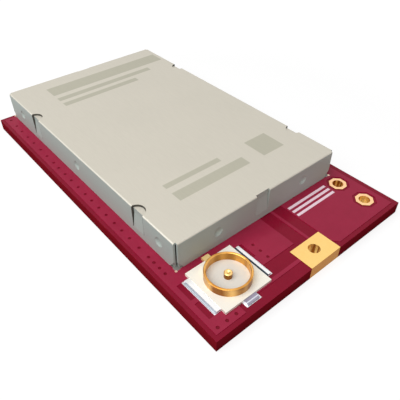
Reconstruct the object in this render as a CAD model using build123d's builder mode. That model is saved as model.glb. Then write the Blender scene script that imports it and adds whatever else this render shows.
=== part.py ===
from build123d import *
import os

# Radio module on a small plug-in card: circuit board, folded shield can, coaxial receptacle.
# Millimetres. The board lies on Z = 0, X across its width, Y along its length,
# and its front edge, with the receptacle and the wrapped edge pad, is at -Y.

# Circuit board
board_width = 14.9
board_length = 25.1
board_thick = 0.8
foil = 0.035
surface = board_thick + foil
left_edge = -board_width / 2
right_edge = board_width / 2
front_edge = -board_length / 2
back_edge = board_length / 2

# Shield can: lid over fence
sheet = 0.12
can_half = board_width / 2 - 1.117
can_front = front_edge + 4.45
can_back = back_edge - 0.165
can_top = surface + 1.936
lid_bottom = surface + 0.015
fold_radius = 0.1
fit_clearance = 0.015
corner_notch = 0.17
skirt_cut = (0.35, 0.5)
can_length = can_back - can_front
can_middle = (can_front + can_back) / 2
lid_under = can_top - sheet

# Tongues lanced in the lid
tongue_places = (can_back - 4.585, can_front + 3.37)
tongue_half = 0.49
end_tongue_middle = -0.01
kerf = 0.03
tongue_root = surface + 0.445
tongue_inset_height = can_top - 0.45
window_margin = 0.06
window_floor = tongue_root - 0.04

# Dimples of the lid and the holes of the fence that they enter
dimple_radius = 0.31
dimple_depth = 0.12
dimple_height = surface + 1.055
side_dimples = (can_back - 2.085, can_middle, can_front + 1.45)
end_dimples = (2.933 - can_half, can_half - 2.833)
boss_sink = 0.8 * sheet
boss_radius = 0.37
boss_taper = 30
dimple_hole_radius = 0.42

# Fence
fence_half = can_half - sheet - fit_clearance
fence_front = can_front + sheet + fit_clearance
fence_back = can_back - sheet - fit_clearance
flange_width = 1.0
bridge_width = 1.3
pickup_radius = 2.2
mouth_width = 0.5
mouth_height = 0.08

# Solder land under the fence
land_inset = 0.033
land_width = 0.45
land_corner = 0.35
land_corner_out = 0.05
land_mouth = 0.6

# Coaxial receptacle
socket_x = left_edge + 2.877
socket_y = front_edge + 2.368
socket_body = 3.14
socket_floor = surface + 0.165
ring_outer = 1.286
ring_inner = 1.154
ring_top = surface + 0.677
lip_bevel = 0.03
root_flare = 0.06
base_top = surface + 0.12
base_depth = 2.46
base_hole = 0.75
strip_slot = 0.9
wing_slot = 0.08
wing_width = 0.22
wing_top = surface + 0.15
pin_radius = 0.228
pin_top = surface + 0.525
pin_bevel = 0.04
tip_radius = 0.12
tip_depth = 0.05
tip_point = 0.001
strip_width = 0.4
strip_top = surface + 0.06
tab_width = 0.82
tab_step = 0.18
tab_foot = 0.14
tab_slope = 0.04
tab_top = surface + 0.125
foot_top = surface + 0.065
rear_tab_width = 0.47
rear_tab_reach = 0.29
pad_outer = 2.007
pad_inner = 1.48
pad_front = socket_y - 1.238
pad_back = socket_y + 1.312
signal_pad_front = front_edge + 0.43
signal_pad_back = front_edge + 1.05
signal_pad_width = 0.98
solder_width = 0.11
solder_height = 0.1
solder_toe = 0.018

# Gold edge pad, wrapped over the front edge
edge_pad_left = -0.744
edge_pad_right = 1.667
edge_pad_back = front_edge + 1.55
edge_hole = (0.47, front_edge + 0.86)
edge_hole_radius = 0.35
edge_pad_width = edge_pad_right - edge_pad_left

# Plated eyelets with octagonal lands
eyelet_x = right_edge - 1.394
eyelet_places = ((eyelet_x, front_edge + 3.52), (eyelet_x, front_edge + 1.51))
eyelet_hole_radius = 0.35
eyelet_land_flats = 1.07
eyelet_clearance = 0.17

# Tracks from the edge pad: under the can, and to the receptacle
feed_left = 0.756
feed_right = 0.944
feed_middle = (feed_left + feed_right) / 2
track_front = front_edge + 0.72
track_back = front_edge + 0.94

# Pour of copper on the top, under the solder mask
pour_left = left_edge + 0.23
pour_right = right_edge - 0.36
pour_front = front_edge + 0.27
pour_back = back_edge - 0.27
pour_step = pad_back
relief_gap_right = socket_x - pad_outer
relief_gap_left = relief_gap_right - 0.33
corner_block_right = socket_x - 0.727
bridge_front = socket_y - 0.128
bridge_back = socket_y + 0.152
feed_gap_left = feed_left - 0.856
feed_gap_right = feed_right + 0.756
feed_gap_end = can_front + 1.3
track_end = can_front + 0.9
centre_pour_left = socket_x + 2.213
centre_pour_front = socket_y - 0.538
centre_pour_notch = socket_y + 0.182
pour_corner_cut = (0.3, 0.38)

# Ground vias, each covered by solder mask that dips into it on both faces:
# a row up the left edge and two groups of three
via_radius = 0.1
via_dip = 0.03
via_column = left_edge + 0.6
via_distances = (0.65, 1.7, 2.65, 3.65, 4.65, 5.75, 6.75, 7.75, 8.5, 9.4, 10.25, 11.15, 12.05, 12.85,
                 13.7, 14.55, 15.45, 16.25, 17.05, 18.0, 18.9, 19.4, 19.9, 20.4)
edge_vias = [(via_column, back_edge - distance) for distance in via_distances]
corner_vias = [(left_edge + across, front_edge + 0.53) for across in (0.54, 1.14, 1.74)]
feed_vias = [(centre_pour_left + 0.46, centre_pour_front + along) for along in (0.25, 0.82, 1.39)]

# Contacts of the plug-in card format on the underside
contact_pitch = 2.54
contact_row_gap = 7.62
contact_size = (1.7, 2.0)
contact_inset = 5.0

# White print beside the eyelets
print_left = eyelet_x - 4.256
print_right = eyelet_x - 0.856
print_middle = front_edge + 3.55
print_pitch = 0.36
bar_height = 0.18
print_thick = 0.02

# Parts under the can: places on the board, then width, length and height
transceiver_place = (0.6, can_front + 6.5)
transceiver_size = (4.0, 4.0, 0.85)
controller_place = (-1.2, can_middle + 3.06)
controller_size = (6.0, 6.0, 0.9)
crystal_place = (can_half - 1.75, can_front + 4.7)
crystal_size = (2.0, 2.5, 0.5)
filter_place = (feed_middle, can_front + 2.6)
filter_size = (3.0, 2.6, 0.8)
metal_rim = 0.3
metal_lid = 0.1
memory_place = (can_half - 2.1, can_middle + 4.26)
memory_size = (2.0, 3.0, 0.75)
package_bevel = 0.08
small_package = (2.9, 1.6, 1.0)
stand_off = 0.1
regulator_place = (3.0 - can_half, can_back - 2.085)
sensor_place = (can_half - 3.0, can_back - 2.085)
lead_pitch = 0.95
lead_width = 0.4
lead_thick = 0.13
lead_height = surface + 0.6
lead_shoulder = 0.2
lead_reach = 0.6
chip_length = 1.0
chip_width = 0.5
chip_cap = 0.2
capacitor_height = 0.5
capacitor_middle = (-3.1, can_front + 4.7)
capacitor_pitch = (1.6, 1.2)
resistor_height = 0.35
resistor_middle = (1.15 - can_half, can_middle + 3.06)
resistor_pitch = (1.6, 1.1)
inductor_height = 0.55
inductor_middle = (can_half - 1.95, can_front + 2.0)
inductor_pitch = (1.4, 1.0)


def rectangle(left, right, front, back, mode=Mode.ADD):
    """Adds a rectangle by its four sides to the sketch that is open."""
    with Locations(((left + right) / 2, (front + back) / 2)):
        Rectangle(right - left, back - front, mode=mode)


top_plane = Plane.XY.offset(board_thick)
surface_plane = Plane.XY.offset(surface)


# Gold edge pad: top, front and bottom faces in one C, and the plated hole,
# whose barrel is eight-sided where the board hides it
with BuildPart() as edge_pad:
    with BuildSketch(Plane.YZ.offset(edge_pad_left)):
        with BuildLine():
            Polyline(
                (front_edge, 0),
                (edge_pad_back, 0),
                (edge_pad_back, foil),
                (front_edge + foil, foil),
                (front_edge + foil, board_thick),
                (edge_pad_back, board_thick),
                (edge_pad_back, surface),
                (front_edge, surface),
                close=True,
            )
        make_face()
    extrude(amount=edge_pad_width)
    with BuildSketch():
        with Locations(edge_hole):
            RegularPolygon(edge_hole_radius + foil, 8, major_radius=False)
    extrude(amount=surface)
    with BuildSketch():
        with Locations(edge_hole):
            Circle(edge_hole_radius)
    extrude(amount=surface, mode=Mode.SUBTRACT)

# Plated eyelets: an octagonal land on both faces, joined by the barrel
with BuildPart() as plated_eyelets:
    for land_plane in (Plane.XY, top_plane):
        with BuildSketch(land_plane):
            with Locations(*eyelet_places):
                RegularPolygon(eyelet_land_flats / 2, 8, major_radius=False, rotation=22.5)
        extrude(amount=foil)
    with BuildSketch():
        with Locations(*eyelet_places):
            RegularPolygon(eyelet_hole_radius + foil, 8, major_radius=False)
    extrude(amount=surface)
    with BuildSketch():
        with Locations(*eyelet_places):
            Circle(eyelet_hole_radius)
    extrude(amount=surface, mode=Mode.SUBTRACT)

# Eight contacts of the card format, in two rows of four across the board, flush with the underside
with BuildPart() as bottom_contacts:
    with BuildSketch():
        with Locations((0, back_edge - contact_inset - contact_row_gap / 2)):
            with GridLocations(contact_pitch, contact_row_gap, 4, 2):
                Rectangle(*contact_size)
    extrude(amount=foil)

# Solder land under the fence: a frame, wider at the corners, open where the feed track passes
with BuildPart() as shield_lands:
    with BuildSketch(top_plane):
        with Locations((0, can_middle)):
            Rectangle(2 * (can_half - land_inset), can_length - 2 * land_inset)
            Rectangle(
                2 * (can_half - land_inset - land_width),
                can_length - 2 * (land_inset + land_width),
                mode=Mode.SUBTRACT,
            )
            with GridLocations(
                2 * (can_half + land_corner_out) - land_corner,
                can_length + 2 * land_corner_out - land_corner,
                2,
                2,
            ):
                Rectangle(land_corner, land_corner)
        with Locations((feed_middle, can_front + land_width / 2)):
            Rectangle(land_mouth, 2 * land_width, mode=Mode.SUBTRACT)
    extrude(amount=foil)

# Pads of the receptacle: ground on the left and right, signal in front
with BuildPart() as receptacle_pads:
    with BuildSketch(top_plane):
        rectangle(socket_x - pad_outer, socket_x - pad_inner, pad_front, pad_back)
        rectangle(socket_x + pad_inner, socket_x + pad_outer, pad_front, pad_back)
        with Locations((socket_x, (signal_pad_front + signal_pad_back) / 2)):
            Rectangle(signal_pad_width, signal_pad_back - signal_pad_front)
    extrude(amount=foil)

# Board: laminate, relief of the pour and tracks, pockets for the plating, dips of the mask over the vias
with BuildPart() as circuit_board:
    with BuildSketch():
        Rectangle(board_width, board_length)
    extrude(amount=board_thick)
    with BuildSketch(top_plane):
        rectangle(pour_left, pour_right, pour_step, pour_back)
        rectangle(pour_left, relief_gap_left, pour_front, pour_step)
        rectangle(pour_left, corner_block_right, pour_front, pad_front)
        rectangle(relief_gap_left, relief_gap_right, bridge_front, bridge_back)
        rectangle(centre_pour_left, feed_gap_left, centre_pour_front, pour_step)
        rectangle(socket_x + pad_outer, centre_pour_left, centre_pour_front, centre_pour_notch)
        with BuildLine():
            Polyline(
                (feed_gap_right, pour_step),
                (feed_gap_right, pour_front + pour_corner_cut[1]),
                (feed_gap_right + pour_corner_cut[0], pour_front),
                (pour_right, pour_front),
                (pour_right, pour_step),
                close=True,
            )
        make_face()
        rectangle(feed_gap_left, feed_gap_right, pour_step, feed_gap_end, mode=Mode.SUBTRACT)
        with Locations(*eyelet_places):
            RegularPolygon(
                eyelet_land_flats / 2 + eyelet_clearance,
                8,
                major_radius=False,
                rotation=22.5,
                mode=Mode.SUBTRACT,
            )
        rectangle(feed_left, feed_right, edge_pad_back, track_end)
        rectangle(socket_x + signal_pad_width / 2, edge_pad_left, track_front, track_back)
    extrude(amount=foil)
    for dip_plane in (Plane.XY, surface_plane.offset(-via_dip)):
        with BuildSketch(dip_plane):
            with Locations(*edge_vias, *corner_vias, *feed_vias):
                RegularPolygon(via_radius, 8)
        extrude(amount=via_dip, mode=Mode.SUBTRACT)
    with BuildSketch():
        with Locations(*eyelet_places):
            RegularPolygon(eyelet_hole_radius + foil, 8, major_radius=False)
        with Locations(edge_hole):
            RegularPolygon(edge_hole_radius + foil, 8, major_radius=False)
    extrude(amount=surface, mode=Mode.SUBTRACT)
    add(edge_pad.part, mode=Mode.SUBTRACT)
    add(plated_eyelets.part, mode=Mode.SUBTRACT)
    add(bottom_contacts.part, mode=Mode.SUBTRACT)
    add(shield_lands.part, mode=Mode.SUBTRACT)


def side_tongue(side, middle):
    """Tongue of a long wall: leans in by one sheet, sharply bent at its fold, with a round end."""
    wall = side * can_half
    inset = side * (can_half - sheet)
    inner = side * (can_half - 2 * sheet)
    tip = side * (can_half - tongue_half)
    with BuildPart() as tongue:
        with BuildSketch(Plane.XZ.offset(-(middle + tongue_half))):
            with BuildLine():
                Polyline(
                    (wall, tongue_root),
                    (inset, tongue_inset_height),
                    (inset, lid_under),
                    (tip, lid_under),
                    (tip, lid_under - sheet),
                    (inner, lid_under - sheet),
                    (inner, tongue_inset_height),
                    (inset, tongue_root),
                    close=True,
                )
            make_face()
        extrude(amount=2 * tongue_half)
        with BuildSketch(Plane.XY.offset(tongue_root)):
            with Locations((wall, middle)):
                Rectangle(2 * tongue_half + kerf, 2 * tongue_half + kerf)
                Circle(tongue_half, mode=Mode.SUBTRACT)
        extrude(amount=lid_under - tongue_root, mode=Mode.SUBTRACT)
    return tongue.part


def end_tongue(side):
    """Tongue of a short wall: leans in by one sheet, with its end under the top."""
    wall = can_back if side > 0 else can_front
    inset = wall - side * sheet
    inner = wall - 2 * side * sheet
    with BuildPart() as tongue:
        with BuildSketch(Plane.YZ.offset(end_tongue_middle - tongue_half)):
            with BuildLine():
                Polyline(
                    (wall, tongue_root),
                    (inset, tongue_inset_height),
                    (inset, lid_under - kerf),
                    (inner, lid_under - kerf),
                    (inner, tongue_inset_height),
                    (inset, tongue_root),
                    close=True,
                )
            make_face()
        extrude(amount=2 * tongue_half)
    return tongue.part


# Dimples are spherical on the outside, with a tapered boss inside that enters a hole of the fence
dimple_sphere = (dimple_radius**2 + dimple_depth**2) / (2 * dimple_depth)
wall_stations = [
    Plane((side * can_half, y, dimple_height), z_dir=(-side, 0, 0)) for side in (-1, 1) for y in side_dimples
] + [
    Plane((x, wall, dimple_height), z_dir=(0, into, 0))
    for wall, into in ((can_front, 1), (can_back, -1))
    for x in end_dimples
]

tongues = [side_tongue(side, middle) for side in (-1, 1) for middle in tongue_places]
tongues += [end_tongue(-1), end_tongue(1)]

# Shield lid: one folded sheet with open corners, trimmed skirts, lanced tongues and dimples
with BuildPart() as shield_lid:
    with BuildSketch(Plane.XY.offset(lid_bottom)):
        with Locations((0, can_middle)):
            Rectangle(2 * can_half, can_length)
    extrude(amount=can_top - lid_bottom)
    with BuildSketch(Plane.XY.offset(lid_bottom)):
        with Locations((0, can_middle)):
            Rectangle(2 * (can_half - sheet), can_length - 2 * sheet)
    extrude(amount=lid_under - lid_bottom, mode=Mode.SUBTRACT)
    top_face = shield_lid.faces().sort_by(Axis.Z)[-1]
    fillet(top_face.edges(), fold_radius)
    # Square notches open the four corners
    with BuildSketch(Plane.XY.offset(lid_bottom)):
        with Locations((0, can_middle)):
            with GridLocations(2 * can_half - corner_notch, can_length - corner_notch, 2, 2):
                Rectangle(corner_notch, corner_notch)
    extrude(amount=can_top - lid_bottom, mode=Mode.SUBTRACT)
    # Lower corners of the long walls, then of the short ones
    for side in (-1, 1):
        with BuildSketch(Plane.YZ.offset(side * (can_half - sheet / 2) - sheet / 2)):
            for corner, inward in ((can_front, 1), (can_back, -1)):
                with BuildLine():
                    Polyline(
                        (corner, lid_bottom),
                        (corner + inward * (corner_notch + skirt_cut[0]), lid_bottom),
                        (corner + inward * corner_notch, lid_bottom + skirt_cut[1]),
                        (corner, lid_bottom + skirt_cut[1]),
                        close=True,
                    )
                make_face()
        extrude(amount=sheet, mode=Mode.SUBTRACT)
    for wall in (can_front + sheet, can_back):
        with BuildSketch(Plane.XZ.offset(-wall)):
            for side in (-1, 1):
                with BuildLine():
                    Polyline(
                        (side * can_half, lid_bottom),
                        (side * (can_half - corner_notch - skirt_cut[0]), lid_bottom),
                        (side * (can_half - corner_notch), lid_bottom + skirt_cut[1]),
                        (side * can_half, lid_bottom + skirt_cut[1]),
                        close=True,
                    )
                make_face()
        extrude(amount=sheet, mode=Mode.SUBTRACT)
    # Openings round the tongues: a slot in the wall and a half circle over the fold
    for side in (-1, 1):
        with BuildSketch(Plane.YZ.offset(side * (can_half - sheet / 2) - sheet / 2)):
            for middle in tongue_places:
                with Locations((middle, (tongue_root + can_top) / 2)):
                    Rectangle(2 * (tongue_half + kerf), can_top - tongue_root)
        extrude(amount=sheet, mode=Mode.SUBTRACT)
    with BuildSketch(Plane.XY.offset(lid_under)):
        with Locations(*[(side * can_half, middle) for side in (-1, 1) for middle in tongue_places]):
            Circle(tongue_half + kerf)
    extrude(amount=sheet, mode=Mode.SUBTRACT)
    for wall in (can_front + sheet, can_back):
        with BuildSketch(Plane.XZ.offset(-wall)):
            with Locations((end_tongue_middle, (tongue_root + can_top) / 2)):
                Rectangle(2 * (tongue_half + kerf), can_top - tongue_root)
        extrude(amount=sheet, mode=Mode.SUBTRACT)
    add(tongues)
    for station in wall_stations:
        with BuildSketch(station.offset(boss_sink)):
            RegularPolygon(boss_radius, 8)
        extrude(amount=sheet + dimple_depth - boss_sink, taper=boss_taper)
    for station in wall_stations:
        centre = station.offset(dimple_depth - dimple_sphere).origin
        with Locations(Plane(centre, x_dir=-station.z_dir, z_dir=(0, 0, 1)).location):
            Sphere(dimple_sphere, mode=Mode.SUBTRACT)

# Fence: the frame inside the lid, open on top but for its flange and a bridge with a pick-up disc
with BuildPart() as shield_fence:
    with BuildSketch(surface_plane):
        with Locations((0, can_middle)):
            Rectangle(2 * fence_half, fence_back - fence_front)
    extrude(amount=lid_under - surface)
    with BuildSketch(surface_plane):
        with Locations((0, can_middle)):
            Rectangle(2 * (fence_half - sheet), fence_back - fence_front - 2 * sheet)
    extrude(amount=lid_under - sheet - surface, mode=Mode.SUBTRACT)
    fillet(shield_fence.faces().sort_by(Axis.Z)[-1].edges(), fold_radius)
    with BuildSketch(Plane.XY.offset(lid_under - sheet)):
        with Locations((0, can_middle)):
            Rectangle(2 * (fence_half - flange_width), fence_back - fence_front - 2 * flange_width)
            Rectangle(2 * fence_half, bridge_width, mode=Mode.SUBTRACT)
            Circle(pickup_radius, mode=Mode.SUBTRACT)
    extrude(amount=sheet, mode=Mode.SUBTRACT)
    with BuildSketch(surface_plane):
        with Locations((0, can_middle)):
            with GridLocations(2 * fence_half - corner_notch, fence_back - fence_front - corner_notch, 2, 2):
                Rectangle(corner_notch, corner_notch)
    extrude(amount=lid_under - surface, mode=Mode.SUBTRACT)
    # Windows that the tongues of the lid enter
    with BuildSketch(Plane.XY.offset(window_floor)):
        reach = tongue_half + window_margin
        for side in (-1, 1):
            for middle in tongue_places:
                with Locations((side * can_half, middle)):
                    Rectangle(2 * reach, 2 * reach)
        for wall in (can_front, can_back):
            with Locations((end_tongue_middle, wall)):
                Rectangle(2 * reach, 2 * (2 * sheet + window_margin))
    extrude(amount=lid_under - window_floor, mode=Mode.SUBTRACT)
    # Holes that the dimples enter
    with BuildSketch(Plane.YZ.offset(-fence_half)):
        with Locations(*[(y, dimple_height) for y in side_dimples]):
            RegularPolygon(dimple_hole_radius, 8)
    extrude(amount=2 * fence_half, mode=Mode.SUBTRACT)
    with BuildSketch(Plane.XZ.offset(-fence_back)):
        with Locations(*[(x, dimple_height) for x in end_dimples]):
            RegularPolygon(dimple_hole_radius, 8)
    extrude(amount=fence_back - fence_front, mode=Mode.SUBTRACT)
    # Mouth over the feed track
    with BuildSketch(surface_plane):
        with Locations((feed_middle, fence_front + sheet / 2)):
            Rectangle(mouth_width, sheet)
    extrude(amount=mouth_height, mode=Mode.SUBTRACT)

# Outer contact of the receptacle: base open to the front, ground wings, rear tab, and the ring,
# whose lip is bevelled and whose root widens on both sides inside the moulding
socket_centre = (socket_x, socket_y)
body_half = socket_body / 2
wing_outer = body_half + wing_slot + wing_width
with BuildPart() as outer_contact:
    with BuildSketch(surface_plane):
        with Locations(socket_centre):
            Rectangle(2 * wing_outer, base_depth)
            RegularPolygon(base_hole, 8, mode=Mode.SUBTRACT)
        with Locations((socket_x, socket_y - base_depth / 2)):
            Rectangle(strip_slot, base_depth, mode=Mode.SUBTRACT)
    extrude(amount=base_top - surface)
    with BuildSketch(surface_plane):
        with Locations(socket_centre):
            with GridLocations(2 * wing_outer - wing_width, 0, 2, 1):
                Rectangle(wing_width, base_depth)
    extrude(amount=wing_top - surface)
    with BuildSketch(surface_plane):
        with Locations((socket_x, socket_y + (ring_inner + body_half + rear_tab_reach) / 2)):
            Rectangle(rear_tab_width, body_half + rear_tab_reach - ring_inner)
    extrude(amount=socket_floor - surface)
    with BuildSketch(Plane((socket_x, socket_y, 0), x_dir=(1, 0, 0), z_dir=(0, -1, 0))):
        with BuildLine():
            Polyline(
                (ring_inner - root_flare, base_top),
                (ring_outer + root_flare, base_top),
                (ring_outer, socket_floor),
                (ring_outer, ring_top - lip_bevel),
                (ring_outer - lip_bevel, ring_top),
                (ring_inner + lip_bevel, ring_top),
                (ring_inner, ring_top - lip_bevel),
                (ring_inner, socket_floor),
                close=True,
            )
        make_face()
    revolve(axis=Axis((socket_x, socket_y, 0), (0, 0, 1)))

# Signal contact: pin with a hollow tip, strip under the ring, stepped solder tab
with BuildPart() as signal_contact:
    with BuildSketch(Plane.YZ.offset(socket_x - tab_width / 2)):
        with BuildLine():
            front = socket_y - body_half
            Polyline(
                (front, surface),
                (front, tab_top),
                (front - tab_step, tab_top),
                (front - tab_step - tab_slope, foot_top),
                (front - tab_step - tab_foot, foot_top),
                (front - tab_step - tab_foot, surface),
                close=True,
            )
        make_face()
    extrude(amount=tab_width)
    with BuildSketch(surface_plane):
        with Locations((socket_x, socket_y - body_half / 2)):
            Rectangle(strip_width, body_half)
        with Locations(socket_centre):
            Circle(pin_radius)
    extrude(amount=strip_top - surface)
    with BuildSketch(Plane.XY.offset(strip_top)):
        with Locations(socket_centre):
            Circle(pin_radius)
    extrude(amount=pin_top - strip_top)
    chamfer(signal_contact.edges().group_by(Axis.Z)[-1], pin_bevel)
    with Locations((socket_x, socket_y, pin_top)):
        Cone(tip_point, tip_radius, tip_depth, align=(Align.CENTER, Align.CENTER, Align.MAX), mode=Mode.SUBTRACT)

# Insulator, moulded round both contacts
with BuildPart() as receptacle_body:
    with BuildSketch(surface_plane):
        with Locations(socket_centre):
            Rectangle(socket_body, socket_body)
    extrude(amount=socket_floor - surface)
    add(outer_contact.part, mode=Mode.SUBTRACT)
    add(signal_contact.part, mode=Mode.SUBTRACT)

# Solder fillets: along both wings and in front of the signal tab
with BuildPart() as receptacle_solder:
    with BuildSketch(Plane.XZ.offset(-(socket_y + base_depth / 2))):
        for side in (-1, 1):
            with BuildLine():
                Polyline(
                    (socket_x + side * wing_outer, surface),
                    (socket_x + side * (wing_outer + solder_width), surface),
                    (socket_x + side * wing_outer, surface + solder_height),
                    close=True,
                )
            make_face()
    extrude(amount=base_depth)
    tab_end = socket_y - body_half - tab_step - tab_foot
    with BuildSketch(Plane.YZ.offset(socket_x - tab_width / 2)):
        with BuildLine():
            Polyline(
                (tab_end, surface),
                (signal_pad_front + solder_toe, surface),
                (tab_end, (surface + foot_top) / 2),
                close=True,
            )
        make_face()
    extrude(amount=tab_width)

# White print on the board: three plain bars
with BuildPart() as board_print:
    with BuildSketch(surface_plane):
        with Locations(((print_left + print_right) / 2, print_middle)):
            with GridLocations(0, print_pitch, 1, 3):
                Rectangle(print_right - print_left, bar_height)
    extrude(amount=print_thick)


def standing_block(width, length, height):
    """Adds a block that stands on its place, to the part that is open."""
    Box(width, length, height, align=(Align.CENTER, Align.CENTER, Align.MIN))


# Transceiver chip, close to the feed
with BuildPart() as transceiver_ic:
    with Locations((*transceiver_place, surface)):
        standing_block(*transceiver_size)
    chamfer(transceiver_ic.faces().sort_by(Axis.Z)[-1].edges(), package_bevel)

# Microcontroller
with BuildPart() as microcontroller:
    with Locations((*controller_place, surface)):
        standing_block(*controller_size)
    chamfer(microcontroller.faces().sort_by(Axis.Z)[-1].edges(), package_bevel)

# Crystal: ceramic tub with a welded metal lid
with BuildPart() as crystal:
    with Locations((*crystal_place, surface)):
        standing_block(*crystal_size)
    with Locations((*crystal_place, surface + crystal_size[2])):
        standing_block(crystal_size[0] - metal_rim, crystal_size[1] - metal_rim, metal_lid)

# Filter in the feed: ceramic tub with a metal lid
with BuildPart() as rf_filter:
    with Locations((*filter_place, surface)):
        standing_block(*filter_size)
    with Locations((*filter_place, surface + filter_size[2])):
        standing_block(filter_size[0] - metal_rim, filter_size[1] - metal_rim, metal_lid)

# Serial memory
with BuildPart() as serial_memory:
    with Locations((*memory_place, surface)):
        standing_block(*memory_size)
    chamfer(serial_memory.faces().sort_by(Axis.Z)[-1].edges(), package_bevel)


# One gull-wing lead, at the middle of the package; it leaves at half the height
with BuildPart() as lead:
    with BuildSketch(Plane.YZ.offset(-lead_width / 2)):
        with BuildLine():
            root = -small_package[1] / 2
            Polyline(
                (root, lead_height),
                (root - lead_shoulder, lead_height),
                (root - lead_shoulder - lead_thick, surface + lead_thick),
                (root - lead_reach, surface + lead_thick),
                (root - lead_reach, surface),
                (root - lead_shoulder, surface),
                (root - lead_shoulder + lead_thick, lead_height - lead_thick),
                (root, lead_height - lead_thick),
                close=True,
            )
        make_face()
    extrude(amount=lead_width)


def leads(place, front_steps, back_steps):
    """Adds the leads of a small package: steps of the pitch along its front and its back."""
    for steps, turn in ((front_steps, 0), (back_steps, 180)):
        with Locations(*[(place[0] + step * lead_pitch, place[1]) for step in steps]):
            add(lead.part, rotation=(0, 0, turn))


# Voltage regulator: small body on five leads
with BuildPart() as regulator_body:
    with Locations((*regulator_place, surface + stand_off)):
        standing_block(*small_package)
with BuildPart() as regulator_leads:
    leads(regulator_place, (-1, 0, 1), (-1, 1))

# Temperature sensor: the same body on three leads
with BuildPart() as sensor_body:
    with Locations((*sensor_place, surface + stand_off)):
        standing_block(*small_package)
with BuildPart() as sensor_leads:
    leads(sensor_place, (-1, 1), (0,))

# Chip parts: bodies by kind, in grids, and the end caps of all of them
def chip_bodies(middle, pitch, columns, rows, height):
    """Adds the bodies of a grid of chip parts to the part that is open."""
    with Locations((*middle, surface)):
        with GridLocations(*pitch, columns, rows):
            standing_block(chip_length - 2 * chip_cap, chip_width, height)


def chip_caps(middle, pitch, columns, rows, height):
    """Adds the two end caps of each chip part of a grid to the part that is open."""
    for side in (-1, 1):
        with Locations((middle[0] + side * (chip_length - chip_cap) / 2, middle[1], surface)):
            with GridLocations(*pitch, columns, rows):
                standing_block(chip_cap, chip_width, height)


with BuildPart() as capacitor_bodies:
    chip_bodies(capacitor_middle, capacitor_pitch, 2, 4, capacitor_height)
with BuildPart() as resistor_bodies:
    chip_bodies(resistor_middle, resistor_pitch, 1, 5, resistor_height)
with BuildPart() as inductor_bodies:
    chip_bodies(inductor_middle, inductor_pitch, 2, 2, inductor_height)
with BuildPart() as chip_end_caps:
    chip_caps(capacitor_middle, capacitor_pitch, 2, 4, capacitor_height)
    chip_caps(resistor_middle, resistor_pitch, 1, 5, resistor_height)
    chip_caps(inductor_middle, inductor_pitch, 2, 2, inductor_height)

os.makedirs("parts", exist_ok=True)
circuit_board.part.label = "circuit_board"
export_step(circuit_board.part, "parts/circuit_board.step")
edge_pad.part.label = "edge_pad"
export_step(edge_pad.part, "parts/edge_pad.step")
plated_eyelets.part.label = "plated_eyelets"
export_step(plated_eyelets.part, "parts/plated_eyelets.step")
bottom_contacts.part.label = "bottom_contacts"
export_step(bottom_contacts.part, "parts/bottom_contacts.step")
shield_lands.part.label = "shield_lands"
export_step(shield_lands.part, "parts/shield_lands.step")
shield_fence.part.label = "shield_fence"
export_step(shield_fence.part, "parts/shield_fence.step")
shield_lid.part.label = "shield_lid"
export_step(shield_lid.part, "parts/shield_lid.step")
receptacle_pads.part.label = "receptacle_pads"
export_step(receptacle_pads.part, "parts/receptacle_pads.step")
outer_contact.part.label = "outer_contact"
export_step(outer_contact.part, "parts/outer_contact.step")
signal_contact.part.label = "signal_contact"
export_step(signal_contact.part, "parts/signal_contact.step")
receptacle_body.part.label = "receptacle_body"
export_step(receptacle_body.part, "parts/receptacle_body.step")
receptacle_solder.part.label = "receptacle_solder"
export_step(receptacle_solder.part, "parts/receptacle_solder.step")
board_print.part.label = "board_print"
export_step(board_print.part, "parts/board_print.step")
transceiver_ic.part.label = "transceiver_ic"
export_step(transceiver_ic.part, "parts/transceiver_ic.step")
microcontroller.part.label = "microcontroller"
export_step(microcontroller.part, "parts/microcontroller.step")
crystal.part.label = "crystal"
export_step(crystal.part, "parts/crystal.step")
rf_filter.part.label = "rf_filter"
export_step(rf_filter.part, "parts/rf_filter.step")
serial_memory.part.label = "serial_memory"
export_step(serial_memory.part, "parts/serial_memory.step")
regulator_body.part.label = "regulator_body"
export_step(regulator_body.part, "parts/regulator_body.step")
regulator_leads.part.label = "regulator_leads"
export_step(regulator_leads.part, "parts/regulator_leads.step")
sensor_body.part.label = "sensor_body"
export_step(sensor_body.part, "parts/sensor_body.step")
sensor_leads.part.label = "sensor_leads"
export_step(sensor_leads.part, "parts/sensor_leads.step")
capacitor_bodies.part.label = "capacitor_bodies"
export_step(capacitor_bodies.part, "parts/capacitor_bodies.step")
resistor_bodies.part.label = "resistor_bodies"
export_step(resistor_bodies.part, "parts/resistor_bodies.step")
inductor_bodies.part.label = "inductor_bodies"
export_step(inductor_bodies.part, "parts/inductor_bodies.step")
chip_end_caps.part.label = "chip_end_caps"
export_step(chip_end_caps.part, "parts/chip_end_caps.step")
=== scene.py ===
import math
import bmesh
import bpy
import numpy as np
from mathutils import Matrix, Vector


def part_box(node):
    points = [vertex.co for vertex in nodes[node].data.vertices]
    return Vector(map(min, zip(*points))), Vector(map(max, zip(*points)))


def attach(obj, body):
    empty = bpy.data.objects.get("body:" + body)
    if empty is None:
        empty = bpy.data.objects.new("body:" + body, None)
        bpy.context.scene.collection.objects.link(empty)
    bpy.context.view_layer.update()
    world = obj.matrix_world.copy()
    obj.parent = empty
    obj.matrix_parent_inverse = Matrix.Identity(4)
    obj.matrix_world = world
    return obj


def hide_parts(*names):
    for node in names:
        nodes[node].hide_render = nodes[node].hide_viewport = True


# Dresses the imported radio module: solder mask, gold, rolled sheet, moulded receptacle, and a plain studio.
# Meshes are in metres. Finishes, and boxes read from the frame, are in millimetres.

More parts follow.
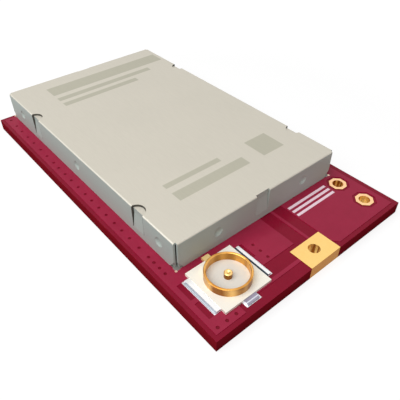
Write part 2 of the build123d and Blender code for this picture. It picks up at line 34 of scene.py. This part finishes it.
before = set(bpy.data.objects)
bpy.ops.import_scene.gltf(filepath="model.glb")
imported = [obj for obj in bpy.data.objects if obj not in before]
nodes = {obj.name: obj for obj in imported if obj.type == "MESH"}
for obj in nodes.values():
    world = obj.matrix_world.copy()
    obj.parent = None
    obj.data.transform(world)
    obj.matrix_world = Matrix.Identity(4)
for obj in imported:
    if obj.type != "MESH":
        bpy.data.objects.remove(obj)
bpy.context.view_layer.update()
perMetre = 1000  # millimetres in a metre
print("frame loaded:", len(nodes), "nodes")


# One colour from 0 to 255 per channel, brought to the linear values that the sockets take by the sRGB curve
def colour(red, green, blue):
    channels = np.array((red, green, blue)) / 255
    linear = np.where(channels <= 0.04045, channels / 12.92, ((channels + 0.055) / 1.055) ** 2.4)
    return (*(float(value) for value in linear), 1.0)


# A number in a node tree. Each operator adds one Math node of that name.
class Field:
    def __init__(self, network, socket):
        self.network = network
        self.socket = socket

    def joined(self, operation, *values):
        return self.network.math(operation, self, *values)

    def __add__(self, other):
        return self.joined("ADD", other)

    def __sub__(self, other):
        return self.joined("SUBTRACT", other)

    def __mul__(self, other):
        return self.joined("MULTIPLY", other)

    def __rsub__(self, other):
        return self.network.math("SUBTRACT", other, self)

    def __gt__(self, other):
        return self.joined("GREATER_THAN", other)

    def __lt__(self, other):
        return self.joined("LESS_THAN", other)

    def __abs__(self):
        return self.joined("ABSOLUTE")

    __radd__ = __add__
    __rmul__ = __mul__


# An empty node tree, with one method that makes every kind of node
class Network:
    def __init__(self, tree):
        self.tree = tree
        self.tree.nodes.clear()

    # Adds a node: settings first, then values or links for its sockets
    def node(self, kind, settings=None, sockets=None):
        made = self.tree.nodes.new(kind)
        for key, value in (settings or {}).items():
            setattr(made, key, value)
        for key, value in (sockets or {}).items():
            self.feed(made.inputs[key], value)
        return made

    # Links a socket to a field or another socket, or gives it a value
    def feed(self, socket, value):
        if isinstance(value, Field):
            value = value.socket
        if isinstance(value, bpy.types.NodeSocket):
            self.tree.links.new(value, socket)
        else:
            socket.default_value = value

    def math(self, operation, *values, clamp=False):
        settings = {"operation": operation, "use_clamp": clamp}
        return Field(self, self.node("ShaderNodeMath", settings, dict(enumerate(values))).outputs[0])

    # Several fields brought together by one operation, such as MAXIMUM
    def gather(self, operation, fields):
        total, *others = fields
        for field in others:
            total = self.math(operation, total, field)
        return total

    # 1 for what the eye, a mirror or glass sees directly, and 0 for soft light
    def seenDirectly(self):
        rays = self.node("ShaderNodeLightPath").outputs
        kinds = ("Is Camera Ray", "Is Glossy Ray", "Is Transmission Ray")
        return self.gather("MAXIMUM", [rays[kind] for kind in kinds])


# What all finishes share: how upright a face's normal is when it counts as flat, how the noise moves with
# its seed, and how rough that noise is
surfaceLook = {"flatStart": 0.7, "seedShift": (1, 0.7, 1.3), "noiseRoughness": 0.55}


# A material under way: a Principled shader. At hand are the place on the piece in millimetres, how far a
# face looks sideways or up and down, and whether it lies flat.
class Finish(Network):
    def __init__(self, name, **constants):
        self.material = bpy.data.materials.new(name)
        self.material.use_nodes = True
        super().__init__(self.material.node_tree)
        self.shader = self.node("ShaderNodeBsdfPrincipled")
        self.output = self.node("ShaderNodeOutputMaterial", {}, {"Surface": self.shader.outputs[0]})
        coordinates = self.node("ShaderNodeTexCoord").outputs
        scaled = self.node("ShaderNodeVectorMath", {"operation": "SCALE"},
                           {"Vector": coordinates["Object"], "Scale": perMetre})
        self.place = scaled.outputs["Vector"]
        self.x, self.y, self.z = self.parts(self.place)
        facing = self.parts(coordinates["Normal"])
        self.sideways, self.upright = abs(facing[0]), abs(facing[2])
        self.flat = self.upright > surfaceLook["flatStart"]
        self.set(**constants)

    # The three parts of a vector, each as a field
    def parts(self, vector):
        split = self.node("ShaderNodeSeparateXYZ", {}, {"Vector": vector})
        return [Field(self, socket) for socket in split.outputs]

    # Feeds the shader's sockets by name, with an underscore for each space
    def set(self, **channels):
        for socketName, value in channels.items():
            self.feed(self.shader.inputs[socketName.replace("_", " ")], value)

    # 0 below a level and 1 above it, with an edge that is soft over a given width
    def above(self, value, level, soft):
        return self.math("DIVIDE", value - (level - soft / 2), soft, clamp=True)

    # 1 between low and high and 0 outside, with edges that are soft over a given width
    def band(self, value, low, high, soft=0.02):
        fall = self.math("DIVIDE", (high + soft / 2) - value, soft, clamp=True)
        return self.above(value, low, soft) * fall

    # Distance from an upright axis through a point
    def radius(self, centreX, centreY):
        across = self.x - centreX
        along = self.y - centreY
        return self.math("SQRT", across * across + along * along)

    # Cloudy noise between 0 and 1 with a given size in millimetres, drawn out along one or more axes
    def noise(self, size, detail=3.0, stretch=(1, 1, 1), seed=0.0):
        moved = self.node("ShaderNodeMapping", {}, {
            "Vector": self.place, "Location": tuple(seed * share for share in surfaceLook["seedShift"]),
            "Scale": tuple(1 / (size * length) for length in stretch)})
        made = self.node("ShaderNodeTexNoise", {"noise_dimensions": "3D"}, {
            "Vector": moved.outputs[0], "Scale": 1.0, "Detail": detail,
            "Roughness": surfaceLook["noiseRoughness"]})
        return Field(self, made.outputs["Fac"])

    # One colour that turns into another, or is multiplied by it, as the factor goes from 0 to 1
    def blend(self, factor, first, second, how="MIX"):
        made = self.node("ShaderNodeMix", {"data_type": "RGBA", "blend_type": how, "clamp_factor": True},
                         {0: factor, 6: first, 7: second})
        return made.outputs[2]

    # Relief from a height field in millimetres
    def relief(self, height, strength):
        bump = self.node("ShaderNodeBump", {},
                         {"Strength": strength, "Distance": 1 / perMetre, "Height": height})
        self.set(Normal=bump.outputs["Normal"])


# Gives a node one finish in all its material slots
def dress(name, finish):
    piece = nodes[name]
    if not len(piece.material_slots):
        piece.data.materials.append(finish.material)
    for slot in piece.material_slots:
        slot.material = finish.material


# A node's box in millimetres, from the frame
def boxInMillimetres(name):
    low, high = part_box(name)
    return [value * perMetre for value in low], [value * perMetre for value in high]


bodyLow, bodyHigh = boxInMillimetres("receptacle_body")
socketX, socketY = ((bodyLow[axis] + bodyHigh[axis]) / 2 for axis in (0, 1))
bodyHalf = (bodyHigh[0] - bodyLow[0]) / 2
canLow, canHigh = boxInMillimetres("shield_lid")
boardTop = boxInMillimetres("circuit_board")[1][2]
padLow = boxInMillimetres("edge_pad")[0]
eyeletLow, eyeletHigh = boxInMillimetres("plated_eyelets")

# Solder mask: brighter over copper, deeper where only laminate lies under it, darkest in the dips over the
# vias, and painted lighter on the thin faces where it steps down from the copper, as a painted highlight.
# The cut sides show the layers.
# Heights are compared with slack, so that a face at that very height counts.
maskLook = {
    "overCopper": colour(170, 44, 74), "bare": colour(146, 16, 48), "dip": colour(130, 14, 38),
    "step": colour(196, 44, 86), "edgeHigh": colour(174, 34, 50), "edgeLow": colour(148, 28, 38),
    "layer": colour(90, 10, 22), "mottle": colour(150, 120, 128), "cloth": colour(190, 150, 160),
    "layerShare": 0.4, "mottleShare": 0.3, "clothShare": 0.16, "weave": 0.42, "relief": 0.003,
    "foil": 0.035, "dipDepth": 0.03, "dipRise": 0.02, "dipSoft": 0.001, "slack": 0.002, "margin": 0.004,
    "roughness": 0.36, "uneven": 0.1, "gloss": 0.3,
}


def makeMask():
    look = maskLook
    finish = Finish("solderMask", Specular_IOR_Level=0.0, Coat_Roughness=0.24)
    mottle = finish.noise(size=1.6, detail=4, seed=3.1)
    fine = finish.noise(size=0.07, detail=2, seed=8.4)
    layers = finish.noise(size=0.09, detail=2, stretch=(9, 9, 1), seed=4.2)
    warp = finish.noise(size=look["weave"], detail=1, stretch=(1, 3, 1), seed=1.1)
    weft = finish.noise(size=look["weave"], detail=1, stretch=(3, 1, 1), seed=6.1)
    cloth = warp + weft
    steep = 1 - finish.flat
    foilFoot = boardTop - look["foil"]
    dipFloor = boardTop - look["dipDepth"]
    dipLow, dipHigh = dipFloor - look["slack"], dipFloor + look["dipRise"]
    overFoil = finish.math("MAXIMUM", finish.z > boardTop - look["foil"] / 2, finish.z < look["slack"])
    inDip = finish.band(finish.z, dipLow, dipHigh, look["dipSoft"]) * finish.flat
    onStep = (finish.z > foilFoot - look["slack"]) * steep
    onSide = finish.band(finish.z, look["margin"], foilFoot - look["margin"], soft=look["margin"]) * steep
    face = finish.blend(overFoil, look["bare"], look["overCopper"])
    face = finish.blend(inDip, face, look["dip"])
    # the thin faces of the step get a painted highlight
    face = finish.blend(onStep, face, look["step"])
    rise = finish.math("DIVIDE", finish.z, boardTop, clamp=True)
    edge = finish.blend(rise, look["edgeLow"], look["edgeHigh"])
    edge = finish.blend(layers * look["layerShare"], edge, look["layer"])
    base = finish.blend(onSide, face, edge)
    base = finish.blend(mottle * look["mottleShare"], base, look["mottle"], "MULTIPLY")
    base = finish.blend(cloth * look["clothShare"], base, look["cloth"], "MULTIPLY")
    finish.set(Base_Color=base, Roughness=look["roughness"] + mottle * look["uneven"],
               Coat_Weight=finish.flat * look["gloss"])
    finish.relief((fine + cloth) * look["relief"], strength=0.6)
    return finish


# Gold over nickel on copper: pale on the faces, streaked on the milled edge, which is painted deeper as
# shade, and in the plated bores painted dark as shade with painted glints
goldLook = {
    "face": colour(253, 215, 136), "deep": colour(248, 197, 114), "eyeletFace": colour(255, 214, 164),
    "eyeletDeep": colour(255, 198, 140), "side": colour(162, 100, 12), "streak": colour(194, 134, 32),
    "boreDark": colour(150, 84, 18), "boreLight": colour(255, 214, 126), "cloudShare": 0.55,
    "glintLevel": 0.5, "glintSoft": 0.2, "padBore": (1.214, 0.86), "boreReach": 0.4,
    "roughness": 0.32, "uneven": 0.14, "sideRough": 0.08,
    "grainRelief": 0.005, "cloudRelief": 0.008, "streakRelief": 0.01,
}


# Middles of the plated bores: one in the edge pad, padBore from its left and front edges, and one in each of
# the two eyelets, whose lands are as long as they are wide
def boreMiddles():
    fromLeft, fromFront = goldLook["padBore"]
    eyeletX = (eyeletLow[0] + eyeletHigh[0]) / 2
    landHalf = (eyeletHigh[0] - eyeletLow[0]) / 2
    return [(padLow[0] + fromLeft, padLow[1] + fromFront),
            (eyeletX, eyeletHigh[1] - landHalf), (eyeletX, eyeletLow[1] + landHalf)]


def makeGold(name, faceTone, deepTone):
    look = goldLook
    finish = Finish(name, Metallic=1.0)
    cloud = finish.noise(size=0.5, detail=4, seed=5.5)
    grain = finish.noise(size=0.04, detail=3, seed=1.7)
    streak = finish.noise(size=0.05, detail=3, stretch=(1, 1, 10), seed=7.3)
    upright = finish.noise(size=0.16, detail=0, stretch=(1, 1, 20), seed=3.3)
    glint = finish.above(upright, look["glintLevel"], look["glintSoft"])
    nearest = finish.gather("MINIMUM", [finish.radius(*middle) for middle in boreMiddles()])
    steep = 1 - finish.flat
    face = finish.blend(cloud * look["cloudShare"], faceTone, deepTone)
    # the milled edge's deeper tone is painted shade
    side = finish.blend(streak, look["side"], look["streak"])
    # the bores are painted dark as shade, with painted glints
    bore = finish.blend(glint, look["boreDark"], look["boreLight"])
    side = finish.blend(nearest < look["boreReach"], side, bore)
    finish.set(Base_Color=finish.blend(finish.flat, side, face),
               Roughness=look["roughness"] + cloud * look["uneven"] + steep * look["sideRough"])
    height = grain * look["grainRelief"] + cloud * look["cloudRelief"]
    finish.relief(height + streak * steep * look["streakRelief"], strength=0.7)
    return finish


# Lands of the can: solder under its walls, bare gold at the tips with a painted highlight, and the mask over
# what lies outside
landLook = {
    "solder": colour(150, 148, 142), "shade": colour(126, 124, 120), "tip": colour(255, 222, 196),
    "lap": 0.004, "tipReach": 0.08, "tipMetal": 0.5, "roughness": 0.34, "uneven": 0.1,
}


def makeLands():
    look = landLook
    finish = Finish("wettedLands")
    cloud = finish.noise(size=0.2, detail=3, seed=2.2)
    beyondX = abs(finish.x - (canLow[0] + canHigh[0]) / 2) - (canHigh[0] - canLow[0]) / 2
    beyondY = abs(finish.y - (canLow[1] + canHigh[1]) / 2) - (canHigh[1] - canLow[1]) / 2
    outside = finish.math("MAXIMUM", beyondX, beyondY) > look["lap"]
    inTip = finish.math("MINIMUM", beyondX, beyondY) > -look["tipReach"]
    base = finish.blend(outside, finish.blend(cloud, look["solder"], look["shade"]), maskLook["overCopper"])
    # the tips are gold, painted pale as a highlight
    finish.set(Base_Color=finish.blend(inTip, base, look["tip"]),
               Roughness=look["roughness"] + cloud * look["uneven"], Metallic=inTip * look["tipMetal"])
    return finish


# Tinned pads, leads and solder: pale and smooth
tinnedLook = {
    "pale": colour(244, 243, 246), "shade": colour(212, 212, 218), "cloudShare": 0.6,
    "roughness": 0.3, "uneven": 0.2, "relief": 0.008,
}


def makeTinned(name, pale=tinnedLook["pale"], shade=tinnedLook["shade"]):
    look = tinnedLook
    finish = Finish(name, Metallic=0.8)
    cloud = finish.noise(size=0.3, detail=4, seed=4.1)
    finish.set(Base_Color=finish.blend(cloud * look["cloudShare"], pale, shade),
               Roughness=look["roughness"] + cloud * look["uneven"])
    finish.relief(cloud * look["relief"], strength=0.6)
    return finish


# Rolled sheet: satin, with its grain along the module. The walls are painted cooler and darker than the
# can's top, as painted shade, and are less metallic; the long folds between them are painted paler and more
# metallic, as a painted highlight. The lid also has etched bars, and painted shade along the cut edges round
# its tongues.
sheetLook = {
    "face": colour(217, 211, 197), "wall": colour(186, 201, 196), "fold": colour(238, 234, 222),
    "cloud": colour(199, 195, 182), "grain": colour(150, 148, 142), "mark": colour(226, 228, 222),
    "cut": colour(92, 90, 82), "cloudShare": 0.35, "grainShare": 0.12,
    "metalFace": 0.32, "metalWall": 0.0, "metalFold": 0.55,
    "foldStart": 0.3, "foldDepth": 0.25, "foldLow": 0.45, "foldHigh": 0.86, "markDepth": 0.02,
    "grainSize": 0.05, "grainLength": 16, "grainRelief": 0.002, "pitRelief": 0.003,
    "roughness": 0.42, "grainRough": 0.08, "cloudRough": 0.05, "markRough": 0.1,
}


def makeSheet(name, marks=False):
    look = sheetLook
    finish = Finish(name, Specular_IOR_Level=0.25)
    cloud = finish.noise(size=4.0, detail=4, seed=2.3)
    grain = finish.noise(size=look["grainSize"], detail=3, stretch=(1, look["grainLength"], 1), seed=9.2)
    pitted = finish.noise(size=0.03, detail=2, seed=4.4)
    onTop = (finish.upright > look["foldStart"]) * (finish.z > canHigh[2] - look["foldDepth"])
    onFold = onTop * finish.band(finish.sideways, look["foldLow"], look["foldHigh"])
    # the walls' cooler, darker tone is painted shade
    base = finish.blend(onTop, look["wall"], look["face"])
    # the pale folds are a painted highlight
    base = finish.blend(onFold, base, look["fold"])
    base = finish.blend(cloud * look["cloudShare"], base, look["cloud"])
    base = finish.blend(grain * look["grainShare"], base, look["grain"], "MULTIPLY")
    rough = look["roughness"] + grain * look["grainRough"] + cloud * look["cloudRough"]
    if marks:
        etched = (finish.z > canHigh[2] - look["markDepth"]) * etchedBars(finish)
        base = finish.blend(etched, base, look["mark"], "MULTIPLY")
        # painted shade along the cut edges round the tongues
        base = finish.blend(kerfs(finish) * (1 - onTop), base, look["cut"])
        rough = rough + etched * look["markRough"]
    metal = look["metalWall"] + onTop * (look["metalFace"] - look["metalWall"])
    metal = metal + onFold * (look["metalFold"] - look["metalFace"])
    finish.set(Base_Color=base, Roughness=rough, Metallic=metal)
    finish.relief(grain * look["grainRelief"] + pitted * look["pitRelief"], strength=0.7)
    return finish


# Plain etched bars and a square on the can: left, right, middle and height of each
barLook = {
    "bars": ((-3.9, 6.0, 10.4, 1.3), (-3.9, 4.2, 9.0, 0.5), (-3.9, 2.4, 8.1, 0.5),
             (-4.0, 1.4, -5.2, 0.8), (-4.0, 0.2, -4.1, 0.4), (2.6, 4.4, -4.7, 1.8)),
    "soft": 0.06,
}


def etchedBars(finish):
    soft = barLook["soft"]
    bars = []
    for left, right, middle, height in barLook["bars"]:
        across = finish.band(finish.x, left, right, soft)
        along = finish.band(finish.y, middle - height / 2, middle + height / 2, soft)
        bars.append(across * along)
    return finish.gather("MAXIMUM", bars)


# Painted shade along the cut edges round the tongues of the long walls: a ring about each tongue's middle on
# the fold, above its root. The middles lie fromBack and fromFront inside the can's ends.
kerfLook = {
    "fromBack": 4.585, "fromFront": 3.37, "inner": 0.478, "outer": 0.535, "soft": 0.004, "root": 1.28,
}


def kerfs(finish):
    look = kerfLook
    outward = abs(finish.x) - canHigh[0]
    rings = []
    for middle in (canHigh[1] - look["fromBack"], canLow[1] + look["fromFront"]):
        along = finish.y - middle
        distance = finish.math("SQRT", outward * outward + along * along)
        rings.append(finish.band(distance, look["inner"], look["outer"], look["soft"]))
    return finish.gather("MAXIMUM", rings) * (finish.z > look["root"])


# Receptacle's contacts: gold ring, pin and rear tab, silver wings and front tab. A painted sheen changes
# round the ring, from painted shade to painted light on its rim and walls. The upright faces of the pin and
# wings are painted darker as shade, painted shade darkens the slot beside the moulding on the right wing,
# and the rear tab is painted paler and less metallic, as painted light beside the can.
contactLook = {
    "silver": colour(255, 255, 255), "silverSide": colour(226, 230, 238), "slot": colour(58, 70, 82),
    "tab": colour(158, 151, 169), "rim": colour(243, 184, 100), "rimDeep": colour(206, 142, 66),
    "outside": colour(150, 96, 44), "outsideLight": colour(248, 206, 132), "inside": colour(122, 70, 18),
    "insideLight": colour(226, 170, 86), "rear": colour(255, 221, 152), "pinTop": colour(252, 214, 138),
    "pinSide": colour(150, 96, 36), "sheenLevel": 0.5, "sheenSoft": 0.26, "ringMiddle": 1.22,
    "wingSlot": 0.13, "slotLap": 0.01, "slotSoft": 0.002, "edgeLap": 0.001, "rearLap": 0.05,
    "roughness": 0.26, "uneven": 0.1, "wingPolish": 0.12, "rearDull": 0.8, "wingDull": 0.7,
    "ringRelief": 0.002, "pinRelief": 0.005,
}


def makeOuterContact():
    look = contactLook
    finish = Finish("ringAndWings")
    cloud = finish.noise(size=0.5, detail=4, seed=6.1)
    grain = finish.noise(size=0.05, seed=2.9)
    upright = finish.noise(size=0.6, detail=0, stretch=(1, 1, 20), seed=5.2)
    # a painted sheen, between painted shade and painted light round the ring
    sheen = finish.above(upright, look["sheenLevel"], look["sheenSoft"])
    side = finish.x - socketX
    beyondRing = finish.radius(socketX, socketY) > look["ringMiddle"]
    # painted shade in the slot beside the moulding on the right wing
    inSlot = finish.band(side, bodyHalf - look["slotLap"], bodyHalf + look["wingSlot"], look["slotSoft"])
    onWing = abs(side) > bodyHalf - look["edgeLap"]
    atRear = (finish.y > socketY + bodyHalf - look["rearLap"]) * (1 - onWing)
    # inner and outer walls and rim each run from painted shade to painted light
    inner = finish.blend(sheen, look["inside"], look["insideLight"])
    outer = finish.blend(sheen, look["outside"], look["outsideLight"])
    rim = finish.blend(sheen, look["rimDeep"], look["rim"])
    gold = finish.blend(finish.flat, finish.blend(beyondRing, inner, outer), rim)
    # the wings' upright faces are painted darker as shade
    silver = finish.blend(finish.flat, look["silverSide"], look["silver"])
    base = finish.blend(onWing, gold, finish.blend(inSlot, silver, look["slot"]))
    # the rear tab is painted paler and less metallic, as painted light beside the can
    finish.set(Base_Color=finish.blend(atRear, base, look["rear"]),
               Roughness=look["roughness"] + cloud * look["uneven"] - onWing * look["wingPolish"],
               Metallic=1 - atRear * look["rearDull"] - onWing * look["wingDull"])
    finish.relief(grain * look["ringRelief"], strength=0.5)
    return finish


def makeSignalContact():
    look = contactLook
    finish = Finish("pinAndTab", Metallic=1.0)
    cloud = finish.noise(size=0.4, detail=4, seed=7.7)
    grain = finish.noise(size=0.05, seed=3.9)
    onTab = finish.y < socketY - bodyHalf + look["edgeLap"]
    # the pin's upright faces are painted darker as shade
    gold = finish.blend(finish.flat, look["pinSide"], look["pinTop"])
    silver = finish.blend(finish.flat, look["silverSide"], look["tab"])
    finish.set(Base_Color=finish.blend(onTab, gold, silver),
               Roughness=look["roughness"] + cloud * look["uneven"])
    finish.relief(grain * look["pinRelief"], strength=0.6)
    return finish


# Moulding of the receptacle: cream, and painted greyer inside the ring as painted shade
mouldLook = {
    "cream": colour(252, 248, 237), "floor": colour(229, 226, 218), "shade": colour(236, 228, 214),
    "shadeShare": 0.15, "ringInside": 1.16, "roughness": 0.42, "uneven": 0.15, "relief": 0.006,
}


def makeMoulding():
    look = mouldLook
    finish = Finish("creamMoulding", Specular_IOR_Level=0.4)
    cloud = finish.noise(size=0.7, detail=3, seed=1.3)
    grain = finish.noise(size=0.06, seed=5.9)
    inside = finish.radius(socketX, socketY) < look["ringInside"]
    # painted shade: the moulding is greyer inside the ring
    base = finish.blend(inside, look["cream"], look["floor"])
    finish.set(Base_Color=finish.blend(cloud * look["shadeShare"], base, look["shade"], "MULTIPLY"),
               Roughness=look["roughness"] + cloud * look["uneven"])
    finish.relief(grain * look["relief"], strength=0.6)
    return finish


# Plain print, moulding and ceramics: two tones, roughness and size of the grain
matteLook = {
    "whitePrint": (colour(252, 232, 240), colour(228, 190, 206), 0.55, 0.12),
    "darkMoulding": (colour(38, 38, 41), colour(52, 51, 54), 0.5, 0.08),
    "tanCeramic": (colour(176, 142, 104), colour(150, 118, 84), 0.42, 0.08),
    "blueCeramic": (colour(92, 116, 132), colour(70, 92, 110), 0.42, 0.08),
    "uneven": 0.12, "relief": 0.008,
}


def makeMatte(name):
    finish = Finish(name)
    main, second, roughness, size = matteLook[name]
    grain = finish.noise(size=size, detail=4, seed=6.6)
    finish.set(Base_Color=finish.blend(grain, main, second),
               Roughness=roughness + grain * matteLook["uneven"])
    finish.relief(grain * matteLook["relief"], strength=0.7)
    return finish


# Solder fillet along a straight edge. Across it, as the angle goes from nothing to a right angle, the
# surface runs from the metal's height down to the board: a share of a straight slope, and for the rest a
# hollow quarter of an ellipse, width * (1 - cos angle) out and height * (1 - sin angle) up. Along it, as run
# goes from -1 to 1, both sizes swell from nothing and go back to it as (1 - |run|^power)^(1 / power). The
# inner edge sinks a little into the metal, so that no gap shows.
filletLook = {
    "along": 40, "across": 8, "power": 5.0, "sink": 0.004, "straight": 0.7, "tabHeight": 0.06,
    "pale": colour(164, 171, 179), "shade": colour(148, 157, 167),
}


def filletSurface(start, end, outward, width, height):
    look = filletLook
    straight = look["straight"]
    run = np.linspace(-1, 1, look["along"])
    swell = (1 - np.abs(run) ** look["power"]) ** (1 / look["power"])
    angle = np.linspace(0, math.pi / 2, look["across"])
    slope = angle / angle[-1]
    across = straight * slope + (1 - straight) * (1 - np.cos(angle))
    upward = straight * (1 - slope) + (1 - straight) * (1 - np.sin(angle))
    out = np.concatenate((width * across, [-look["sink"]]))
    up = np.concatenate((height * upward, [0.0]))
    out[0] = -look["sink"]
    start, end, outward = (np.array(value, float) for value in (start, end, outward))
    middle = start + (end - start) * (run[:, None] + 1) / 2
    points = middle[:, None, :] + outward * (out[None, :, None] * swell[:, None, None])
    points[:, :, 2] += up[None, :] * swell[:, None]
    return points


# Joins grids of points, each closed across and drawn together at both ends, into one mesh in metres
def meshOfLoops(name, grids):
    vertices, faces = [], []
    for grid in grids:
        rows, columns = grid.shape[:2]
        offset = sum(len(part) for part in vertices)
        rowStart = np.arange(rows - 1)[:, None] * columns
        column = np.arange(columns)[None, :]
        corner = (rowStart + column).ravel()
        beside = (rowStart + (column + 1) % columns).ravel()
        faces.append(np.stack((corner, beside, beside + columns, corner + columns), axis=1) + offset)
        vertices.append(grid.reshape(-1, 3) / perMetre)
    mesh = bpy.data.meshes.new(name)
    mesh.from_pydata(np.concatenate(vertices).tolist(), [], np.concatenate(faces).tolist())
    piece = bpy.data.objects.new(name, mesh)
    bpy.context.scene.collection.objects.link(piece)
    return piece


# Draws together what lies on one spot, points all faces outwards and shades the piece smooth
def closeSeams(piece, distance=1e-7):
    shell = bmesh.new()
    shell.from_mesh(piece.data)
    bmesh.ops.remove_doubles(shell, verts=shell.verts, dist=distance)
    bmesh.ops.recalc_face_normals(shell, faces=shell.faces)
    shell.to_mesh(piece.data)
    shell.free()
    piece.data.polygons.foreach_set("use_smooth", [True] * len(piece.data.polygons))


# Fillets on the outer edges of both wings and along the front of the tab. A wing reaches as far in front of
# the receptacle's middle as behind it.
def addSolder():
    solderLow, solderHigh = boxInMillimetres("receptacle_solder")
    contactLow, contactHigh = boxInMillimetres("outer_contact")
    signalLow, signalHigh = boxInMillimetres("signal_contact")
    height = solderHigh[2] - boardTop
    width = contactLow[0] - solderLow[0]
    wingBack = solderHigh[1]
    wingFront = 2 * socketY - wingBack
    grids = []
    for edgeX, side in ((contactLow[0], -1), (contactHigh[0], 1)):
        front, back = (edgeX, wingFront, boardTop), (edgeX, wingBack, boardTop)
        grids.append(filletSurface(front, back, (side, 0, 0), width, height))
    tabFront = signalLow[1]
    left, right = (signalLow[0], tabFront, boardTop), (signalHigh[0], tabFront, boardTop)
    grids.append(filletSurface(left, right, (0, -1, 0), tabFront - solderLow[1], filletLook["tabHeight"]))
    piece = meshOfLoops("solder_fillets", grids)
    closeSeams(piece)
    solder = makeTinned("wettedSolder", filletLook["pale"], filletLook["shade"])
    piece.data.materials.append(solder.material)
    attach(piece, "root")
    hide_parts("receptacle_solder")


# Each finish with the nodes that wear it
wardrobe = (
    (makeMask(), ("circuit_board",)),
    (makeGold("platedGold", goldLook["face"], goldLook["deep"]), ("edge_pad", "bottom_contacts")),
    (makeGold("eyeletGold", goldLook["eyeletFace"], goldLook["eyeletDeep"]), ("plated_eyelets",)),
    (makeLands(), ("shield_lands",)),
    (makeTinned("tinnedPads"), ("receptacle_pads",)),
    (makeSheet("rolledLid", marks=True), ("shield_lid",)),
    (makeSheet("rolledFence"), ("shield_fence", "crystal", "rf_filter")),
    (makeOuterContact(), ("outer_contact",)),
    (makeSignalContact(), ("signal_contact",)),
    (makeMoulding(), ("receptacle_body",)),
    (makeMatte("whitePrint"), ("board_print",)),
    (makeMatte("darkMoulding"), ("transceiver_ic", "microcontroller", "serial_memory", "regulator_body",
                                 "sensor_body", "resistor_bodies")),
    (makeTinned("tinnedLeads"), ("regulator_leads", "sensor_leads", "chip_end_caps")),
    (makeMatte("tanCeramic"), ("capacitor_bodies",)),
    (makeMatte("blueCeramic"), ("inductor_bodies",)),
)
for finish, names in wardrobe:
    for name in names:
        dress(name, finish)
addSolder()
print("finishes:", len(bpy.data.materials))

# Camera as the photograph has it: place, line of sight and lens
viewpoint = {
    "place": (-0.01537422, -0.02086104, 0.01945485), "ahead": (0.48295, 0.57692, -0.65873),
    "right": (0.76587, -0.64299, -0.00163), "lens": 41.311, "sensor": 36.0, "nearest": 0.001, "farthest": 5,
}


def addCamera():
    ahead = Vector(viewpoint["ahead"]).normalized()
    right = Vector(viewpoint["right"])
    right = (right - ahead * right.dot(ahead)).normalized()
    up = right.cross(ahead)
    data = bpy.data.cameras.new("studioCamera")
    data.lens = viewpoint["lens"]
    data.sensor_width = viewpoint["sensor"]
    data.clip_start = viewpoint["nearest"]
    data.clip_end = viewpoint["farthest"]
    camera = bpy.data.objects.new("studioCamera", data)
    bpy.context.scene.collection.objects.link(camera)
    turn = Matrix((right, up, -ahead)).transposed().to_4x4()
    camera.matrix_world = Matrix.Translation(viewpoint["place"]) @ turn
    bpy.context.scene.camera = camera


white = (1, 1, 1, 1)

# A flat floor under the board: white to the eye and to metal, modest to soft light. Its glow makes up for
# what the lamp loses with distance, from fadeStart on over fadeLength in millimetres, so no horizon shows.
floorLook = {
    "halfWidth": 1.5, "drop": 0.00002, "shade": 0.26, "glow": 0.78, "fadeStart": 18, "fadeLength": 60,
}


def addFloor():
    half, height = floorLook["halfWidth"], -floorLook["drop"]
    shade, glow = ((level, level, level, 1) for level in (floorLook["shade"], floorLook["glow"]))
    mesh = bpy.data.meshes.new("floor")
    corners = [(-half, -half, height), (half, -half, height), (half, half, height), (-half, half, height)]
    mesh.from_pydata(corners, [], [(0, 1, 2, 3)])
    floor = bpy.data.objects.new("floor", mesh)
    bpy.context.scene.collection.objects.link(floor)
    finish = Finish("paleFloor", Roughness=0.9, Specular_IOR_Level=0.0, Base_Color=shade)
    beyond = finish.radius(0, 0) - floorLook["fadeStart"]
    far = finish.math("DIVIDE", beyond, floorLook["fadeLength"], clamp=True)
    light = finish.node("ShaderNodeEmission", {},
                        {"Color": finish.blend(far, glow, white), "Strength": finish.seenDirectly()})
    both = finish.node("ShaderNodeAddShader", {}, {0: finish.shader.outputs[0], 1: light.outputs[0]})
    finish.feed(finish.output.inputs["Surface"], both.outputs[0])
    mesh.materials.append(finish.material)


# Soft sky for the shading, plain white to the eye and in reflections
skyLook = {"strength": 0.272}


def addSky():
    world = bpy.data.worlds.new("studioSky")
    bpy.context.scene.world = world
    world.use_nodes = True
    sky = Network(world.node_tree)
    level = sky.node("ShaderNodeMapRange", {},
                     {"Value": sky.seenDirectly(), "To Min": skyLook["strength"], "To Max": 1.0})
    light = sky.node("ShaderNodeBackground", {}, {"Color": white, "Strength": level.outputs[0]})
    sky.node("ShaderNodeOutputWorld", {}, {"Surface": light.outputs[0]})


# One square lamp, aimed at the middle of the board. Its power follows the square of its distance.
lampLook = {"place": (-0.055, -0.008, 0.101), "target": (0, 0, 0.001), "side": 0.13, "level": 3.4}


def addLamp():
    data = bpy.data.lights.new("key", "AREA")
    data.shape = "SQUARE"
    data.size = lampLook["side"]
    place = Vector(lampLook["place"])
    back = place - Vector(lampLook["target"])
    data.energy = lampLook["level"] * math.pi * back.length_squared
    lamp = bpy.data.objects.new("key", data)
    lamp.matrix_world = Matrix.Translation(place) @ back.to_track_quat("Z", "Y").to_matrix().to_4x4()
    bpy.context.scene.collection.objects.link(lamp)


addCamera()
addFloor()
addSky()
addLamp()
bpy.context.scene.view_settings.view_transform = "Standard"
print("studio ready")
